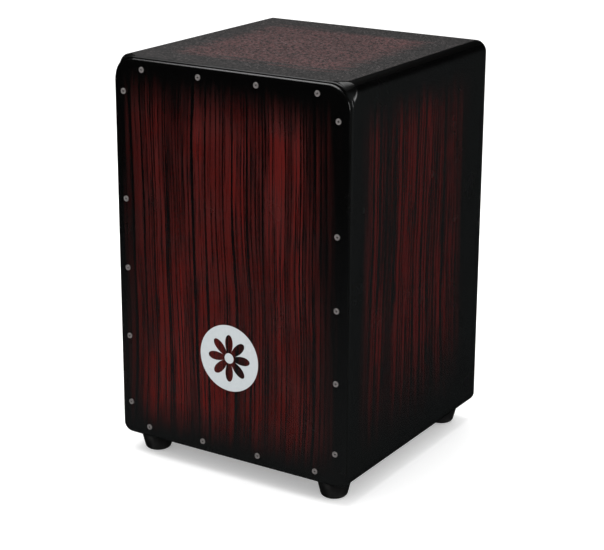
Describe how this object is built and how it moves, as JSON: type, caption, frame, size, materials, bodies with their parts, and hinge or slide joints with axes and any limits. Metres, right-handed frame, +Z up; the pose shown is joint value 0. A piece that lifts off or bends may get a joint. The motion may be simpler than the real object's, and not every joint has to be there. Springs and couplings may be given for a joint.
{
  "type": "cajon",
  "caption": "Box drum with a thin wooden striking face, a rear sound port, rubber feet, and snare wires inside that a tension bolt sets against the face.",
  "frame": {"origin": "on the floor under the feet, at the middle of the whole instrument's box", "axes": "+Z up; the tapa, the striking face, looks towards -Y; +X is to the right for someone who looks at the tapa"},
  "size_m": [0.305, 0.3066, 0.468],
  "materials": {
    "tapa_print": "glossy red and black streaked sunburst print on plywood",
    "shell_lacquer": "glossy black to dark red sunburst lacquer",
    "seat_grit": "gritty anti-slip coat, dark grey with a dim red middle",
    "back_ply": "satin black",
    "bare_wood": "bare sanded wood",
    "screw_steel": "zinc plated",
    "snare_steel": "bright drawn wire",
    "black_steel": "black oxide",
    "foot_rubber": "moulded, matt"
  },
  "bodies": {
    "cajon_body": {"tapa": "tapa_print", "seat_panel": "seat_grit", "side_panel_left": "shell_lacquer", "side_panel_right": "shell_lacquer", "base_panel": "shell_lacquer", "back_panel": "back_ply", "corner_block_top_left": "bare_wood", "corner_block_top_right": "bare_wood", "corner_block_bottom_left": "bare_wood", "corner_block_bottom_right": "bare_wood", "foot_front_left": "foot_rubber", "foot_front_right": "foot_rubber", "foot_back_left": "foot_rubber", "foot_back_right": "foot_rubber", "foot_screw_front_left": "screw_steel", "foot_screw_front_right": "screw_steel", "foot_screw_back_left": "screw_steel", "foot_screw_back_right": "screw_steel", "tapa_screw_top_1": "screw_steel", "tapa_screw_top_2": "screw_steel", "tapa_screw_top_3": "screw_steel", "tapa_screw_top_4": "screw_steel", "tapa_screw_bottom_1": "screw_steel", "tapa_screw_bottom_2": "screw_steel", "tapa_screw_bottom_3": "screw_steel", "tapa_screw_bottom_4": "screw_steel", "tapa_screw_left_1": "screw_steel", "tapa_screw_left_2": "screw_steel", "tapa_screw_left_3": "screw_steel", "tapa_screw_left_4": "screw_steel", "tapa_screw_left_5": "screw_steel", "tapa_screw_right_1": "screw_steel", "tapa_screw_right_2": "screw_steel", "tapa_screw_right_3": "screw_steel", "tapa_screw_right_4": "screw_steel", "tapa_screw_right_5": "screw_steel", "bearing_block_left": "bare_wood", "bearing_block_right": "bare_wood", "anchor_bar": "bare_wood", "t_nut": "screw_steel"},
    "snare_frame": {"snare_bar": "bare_wood", "pivot_pin_left": "screw_steel", "pivot_pin_right": "screw_steel", "snare_wires_left": "snare_steel", "snare_wires_right": "snare_steel", "clamp_plate_left": "black_steel", "clamp_plate_right": "black_steel", "clamp_screw_left_outer": "black_steel", "clamp_screw_left_inner": "black_steel", "clamp_screw_right_outer": "black_steel", "clamp_screw_right_inner": "black_steel"},
    "pad_slider": {"pressure_pad": "screw_steel"},
    "bolt_rotor": {"tension_bolt": "black_steel"}
  },
  "joints": [
    {"name": "snare_swing", "type": "hinge", "parent": "cajon_body", "child": "snare_frame", "pos_m": [0, -0.13395, 0.29], "axis": [-1, 0, 0], "range_deg": [0, 5.9]},
    {"name": "pad_travel", "type": "slide", "parent": "cajon_body", "child": "pad_slider", "axis": [0, 1, 0], "range_m": [0, 0.003]},
    {"name": "bolt_turn", "type": "hinge", "parent": "pad_slider", "child": "bolt_rotor", "pos_m": [0, -0.12765, 0.318], "axis": [0, 1, 0], "range_deg": [0, 1080]}
  ],
  "couplings": [
    {"joint": "bolt_turn", "follows": "snare_swing", "ratio": 183},
    {"joint": "pad_travel", "follows": "snare_swing", "m_per_rad": 0.02913}
  ]
}
